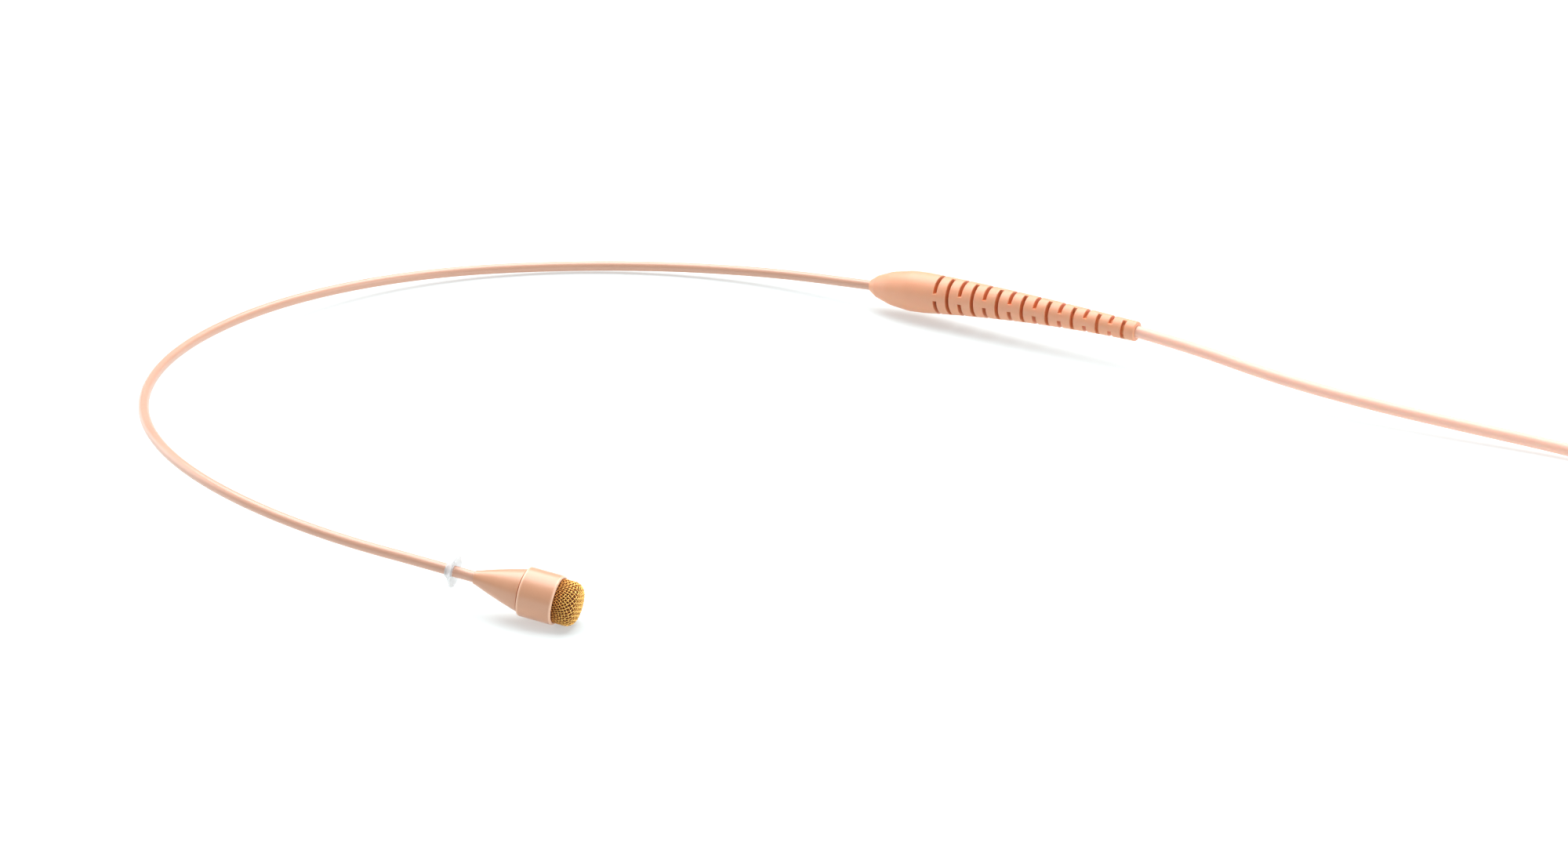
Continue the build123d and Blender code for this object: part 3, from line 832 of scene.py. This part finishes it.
def make_grid():
    """Plain weave of round wire drawn over the front of the cap, its gold darkened near the collar as
    painted shade.
    """
    count = int(WEAVE_REACH / WIRE_PITCH)
    points, faces = [], []
    total = 0
    for number in range(-count, count + 1):
        for crossways in (False, True):
            rings, rows = wire(number, crossways)
            faces += grid_faces(rows, WIRE_SIDES, total) + end_faces(rows, WIRE_SIDES, total)
            points.append(rings)
            total += len(rings)
    points = np.concatenate(points)
    grid = add_object("woven_grid", moved(points, TIP), faces, finish_of("gold_mesh"), 60)
    # Painted shade: the gold goes darker towards the collar.
    mark_points(grid, "painted_light", np.clip((MESH_END - UNSHADED_GOLD_REACH - points[:, 2]) / GOLD_SHADE_FADE, 0, 1))
    stand_in(grid, "grid_cap", "gold_mesh", "grid_mesh")


def make_lining_and_shade():
    """Fine dark cloth behind the weave; it also keeps the holes dark as painted shade."""
    radius, along, lean = cap_surface(np.linspace(0.02e-3, LINING_REACH, 60))
    layers = []
    for depth in (LINING_DEPTH, LINING_DEPTH + LINING_THICK):
        layers.append(np.stack([along - depth * np.cos(lean), radius - depth * np.sin(lean)], axis=1))
    outline = np.concatenate([layers[0], layers[1][::-1]])
    # Dark cloth that is also painted shade in the holes of the weave.
    lining = turned("cap_lining_and_shade", outline[outline[:, 1] > 0], TIP, finish_of("screen_cloth"), 96)
    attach(lining, "grid_cap")


GUARD_FROM_TIP = 3.45e-3                # its back, behind the capsule
GUARD_HUB_LENGTH = 0.9e-3
GUARD_BORE = BOOM_RADIUS + 0.03e-3
GUARD_HUB = 1.0e-3
GUARD_RIM = 1.95e-3


def make_guard():
    """Clear silicone disc that keeps sweat off the capsule."""
    back = -GUARD_FROM_TIP
    hub_end = back + GUARD_HUB_LENGTH
    outline = rounded_outline([
        (back, GUARD_BORE, 0),
        (back, GUARD_HUB - 0.1e-3, 0.05e-3),
        (back + 0.3e-3, GUARD_HUB, 0.1e-3),
        (back + 0.98e-3, GUARD_RIM, 0.05e-3),
        (back + 1.1e-3, GUARD_RIM, 0.05e-3),
        (back + 0.55e-3, GUARD_HUB, 0.1e-3),
        (hub_end, GUARD_HUB - 0.1e-3, 0.05e-3),
        (hub_end, GUARD_BORE, 0),
    ])
    guard = turned("sweat_disc", outline, TIP, finish_of("clear_silicone"))
    stand_in(guard, "guard", "clear_silicone", "sweat_guard")


# ---------------------------------------------------------------- cable


def coil_points():
    """Points of the put-away coil: layers on each other that spiral in and out by turns."""
    shrink = math.cos(math.pi / POINTS_PER_TURN) ** 2
    points = []
    for number in range(round(COIL_LAYERS * COIL_TURNS * POINTS_PER_TURN) + 1):
        turns = number / POINTS_PER_TURN
        layer = min(int(turns / COIL_TURNS), COIL_LAYERS - 1)
        across = turns / COIL_TURNS - layer
        climb = max(0.0, 1 - (1 - across) * COIL_TURNS * 2) if layer < COIL_LAYERS - 1 else 0
        if layer % 2:
            across = 1 - across
        radius = (COIL_OUTER + (COIL_INNER - COIL_OUTER) * across) / shrink
        angle = COIL_START + 2 * math.pi * turns
        height = CABLE_RADIUS + COIL_STEP * (layer + climb)
        points.append(COIL_CENTRE + Vector((radius * math.cos(angle), radius * math.sin(angle), height)))
    return points


def make_cable():
    """Cable from the relief along the table, its coil, and on to the plug."""
    start = relief_station(RELIEF_LENGTH)
    route = [start.translation, *RUN_POINTS, *coil_points(), *TAIL_POINTS]
    curve = bpy.data.curves.new("cable", "CURVE")
    curve.dimensions = "3D"
    curve.bevel_depth = CABLE_RADIUS
    curve.bevel_resolution = 8
    curve.use_fill_caps = True
    curve.resolution_u = 8
    curve.materials.append(finish_of("cable_jacket"))
    spline = curve.splines.new("NURBS")
    spline.points.add(len(route) - 1)
    for place, point in zip(route, spline.points):
        point.co = (*place, 1)
    spline.order_u = 3
    spline.use_endpoint_u = True
    cable = bpy.data.objects.new("cable", curve)
    bpy.context.scene.collection.objects.link(cable)
    stand_in(cable, "microphone", "cable_jacket", "cable_run", "cable_coil", "cable_tail", "cable_in_plug")


# ---------------------------------------------------------------- plug

PLUG = station(Vector(TAIL_POINTS[-1]), Vector(TAIL_POINTS[-1]) - Vector(TAIL_POINTS[-2]))
BOOT_LENGTH = 8.6e-3
BOOT_RADIUS = 1.35e-3                   # at the cable
BOOT_BACK_RADIUS = 2.0e-3               # at the plug
BOOT_RINGS = 5
BOOT_RING_PITCH = 1.05e-3
PLUG_RADIUS = 2.9e-3
NUT_BACK = 13.0e-3
NUT_END = 19.0e-3
NUT_NECK = 1.77e-3                      # bore behind the thread
NUT_SHOULDER = 0.8e-3                   # plain stretch at each end of the knurl
NUT_FLOOR = 14.0e-3
UNDERCUT_RADIUS = 2.5e-3
THREAD_END = 16.1e-3
THREAD_RADIUS = 2.15e-3
THREAD_DEPTH = 0.1e-3
THREAD_PITCH = 0.8e-3
KNURL_DEPTH = 0.12e-3
KNURLS = 40


def make_boot():
    """Tapered rubber boot with shallow rings where it flexes."""
    corners = [(0, CABLE_RADIUS, 0), (0, 1.15e-3, 0.1e-3), (0.5e-3, BOOT_RADIUS, 0.3e-3)]
    for number in range(BOOT_RINGS):
        at = 1.3e-3 + number * BOOT_RING_PITCH
        radius = BOOT_RADIUS + (BOOT_BACK_RADIUS - BOOT_RADIUS) * (at - 0.5e-3) / 7.5e-3
        corners += [
            (at, radius, 0.08e-3),
            (at + 0.1e-3, radius - 0.18e-3, 0.08e-3),
            (at + 0.4e-3, radius - 0.16e-3, 0.08e-3),
            (at + 0.5e-3, radius + 0.04e-3, 0.08e-3),
        ]
    corners += [
        (8.0e-3, BOOT_BACK_RADIUS, 0.5e-3),
        (BOOT_LENGTH, BOOT_BACK_RADIUS, 0.1e-3),
        (BOOT_LENGTH, CABLE_RADIUS, 0),
    ]
    boot = turned("plug_rubber_boot", rounded_outline(corners), PLUG, finish_of("plug_boot_rubber"))
    return stand_in(boot, "microphone", "plug_boot_rubber", "plug_boot")


def make_nut():
    """Knurled coupling nut with its inside thread."""
    columns = KNURLS * 6
    angles = np.linspace(0, 2 * math.pi, columns, endpoint=False)
    knurl_start = NUT_BACK + NUT_SHOULDER
    knurl_end = NUT_END - NUT_SHOULDER
    outside = rounded_outline([
        (NUT_BACK, NUT_NECK, 0),
        (NUT_BACK, PLUG_RADIUS, 0.22e-3),
        (knurl_start, PLUG_RADIUS, 0),
    ])
    groove = KNURL_DEPTH * (0.5 - 0.5 * np.cos(KNURLS * angles))
    rows = [(point.x, np.full(columns, point.y)) for point in outside]
    for share in np.linspace(0, 1, 13):
        fade = min(1.0, 8 * share, 8 * (1 - share))
        rows.append((knurl_start + (knurl_end - knurl_start) * share, PLUG_RADIUS - groove * fade))
    front = rounded_outline([
        (knurl_end, PLUG_RADIUS, 0),
        (NUT_END, PLUG_RADIUS, 0.22e-3),
        (NUT_END, THREAD_RADIUS, 0.05e-3),
        (NUT_END - 0.1e-3, THREAD_RADIUS, 0),
    ])
    rows += [(point.x, np.full(columns, point.y)) for point in front[1:]]
    for at in np.arange(NUT_END - 0.15e-3, THREAD_END, -THREAD_PITCH / 8):
        turn = (at / THREAD_PITCH + angles / (2 * math.pi)) % 1
        rows.append((at, THREAD_RADIUS - THREAD_DEPTH * (1 - np.abs(2 * turn - 1))))
    inside = [
        (THREAD_END, THREAD_RADIUS),
        (THREAD_END, UNDERCUT_RADIUS),
        (NUT_FLOOR, UNDERCUT_RADIUS),
        (NUT_FLOOR, NUT_NECK),
    ]
    rows += [(at, np.full(columns, radius)) for at, radius in inside]
    rings = []
    for at, radius in rows:
        ring = [radius * np.cos(angles), radius * np.sin(angles), np.full(columns, at)]
        rings.append(np.stack(ring, axis=1))
    faces = grid_faces(len(rows), columns, loop=True)
    nut = add_object("plug_nut", moved(np.concatenate(rings), PLUG), faces, finish_of("plug_nickel"), 40)
    return stand_in(nut, "nut", "plug_nickel", "coupling_nut")


TIE_WIDTH = 2.4e-3
TIE_THICK = 0.25e-3
TIE_SECTION = [(-0.5, 0), (-0.5, 0.7), (-0.42, 1), (0.42, 1), (0.5, 0.7), (0.5, 0)]     # shares of both
TIE_TURN = math.radians(70.0)


def make_tie():
    """Narrow strap round the coil that holds its turns together."""
    inner = COIL_INNER - CABLE_RADIUS
    outer = COIL_OUTER + CABLE_RADIUS
    top = 2 * CABLE_RADIUS + (COIL_LAYERS - 1) * COIL_STEP
    ring = rounded_outline([
        (inner, 0.02e-3, 0.5e-3),
        (inner, top, 0.8e-3),
        (outer, top, 0.8e-3),
        (outer, 0.02e-3, 0.5e-3),
    ])
    middle = Vector(((inner + outer) / 2, top / 2))
    rows = []
    for share, lift in TIE_SECTION:
        for point in ring:
            out = (point - middle).normalized() * TIE_THICK * lift
            rows.append((point.x + out.x, TIE_WIDTH * share, max(0.0, point.y + out.y)))
    place = Matrix.Translation(COIL_CENTRE) @ Matrix.Rotation(TIE_TURN, 4, "Z")
    faces = grid_faces(len(TIE_SECTION), len(ring), loop=True)
    tie = add_object("coil_tie", moved(np.array(rows), place), faces, finish_of("shrink_sleeve"))
    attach(tie, "microphone")
    return tie


# ---------------------------------------------------------------- making

dress_cad_nodes()
make_camera()
make_lights()
make_floor()
on_cable = [make_tie(), make_boot(), make_nut()]
for node in ("plug_crimp_ferrule", "plug_body", "plug_insulator", "plug_contact"):
    on_cable.append(frame["nodes"][node])
make_cable()
make_boom()
make_relief()
make_housing()
make_collar()
make_grid()
make_lining_and_shade()
make_guard()
